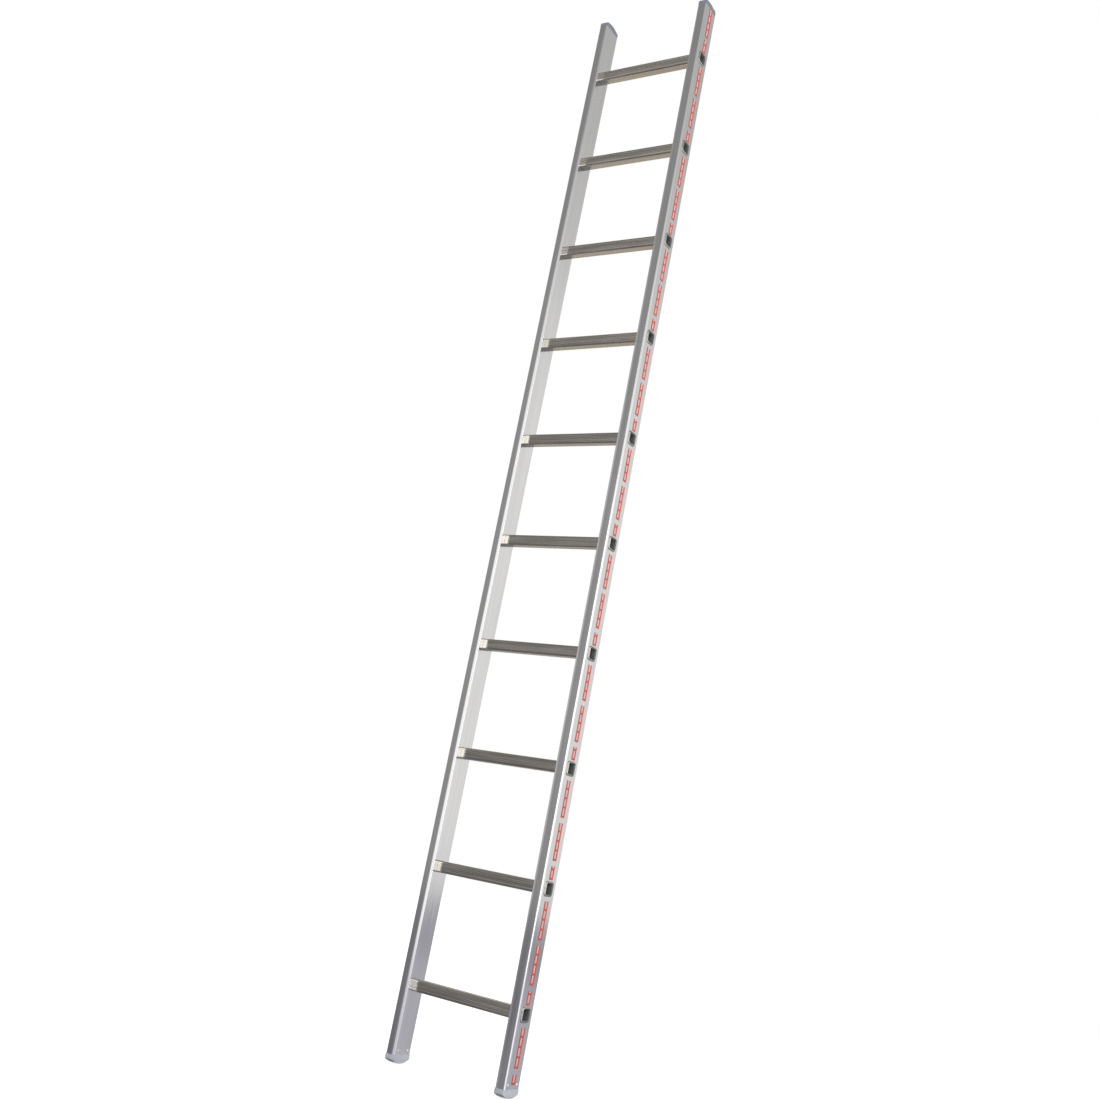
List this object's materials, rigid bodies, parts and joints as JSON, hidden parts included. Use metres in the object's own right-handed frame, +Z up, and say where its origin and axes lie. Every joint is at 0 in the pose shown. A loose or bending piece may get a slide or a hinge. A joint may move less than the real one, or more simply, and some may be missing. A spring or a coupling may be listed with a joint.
{
  "type": "leaning rung ladder",
  "caption": "Single-section aluminium leaning ladder with hollow rectangular stiles, square rungs locked through them by rolled end beads, arched plastic feet and domed end caps.",
  "frame": {"origin": "on the ground under the middle of the ladder, midway between the two soles", "axes": "+Z up along the stiles, +X to the climber's right along the rungs, +Y away from the climber, towards the wall; the part stands upright in this frame and a user leans it about X"},
  "size_m": [0.345, 0.0664, 2.877],
  "materials": {
    "stile_metal": "extruded, satin with fine lengthwise die lines",
    "rung_metal": "extruded, ribbed, satin",
    "foot_plastic": "moulded, fine texture",
    "cap_plastic": "moulded, fine texture",
    "rivet_metal": "bright",
    "marking_print": "screen printed, semi-gloss"
  },
  "bodies": {
    "root": {"left_stile": "stile_metal", "right_stile": "stile_metal", "left_foot": "foot_plastic", "right_foot": "foot_plastic", "left_cap": "cap_plastic", "right_cap": "cap_plastic", "left_foot_rivets": "rivet_metal", "right_foot_rivets": "rivet_metal", "rung_1": "rung_metal", "rung_2": "rung_metal", "rung_3": "rung_metal", "rung_4": "rung_metal", "rung_5": "rung_metal", "rung_6": "rung_metal", "rung_7": "rung_metal", "rung_8": "rung_metal", "rung_9": "rung_metal", "rung_10": "rung_metal"}
  },
  "joints": []
}
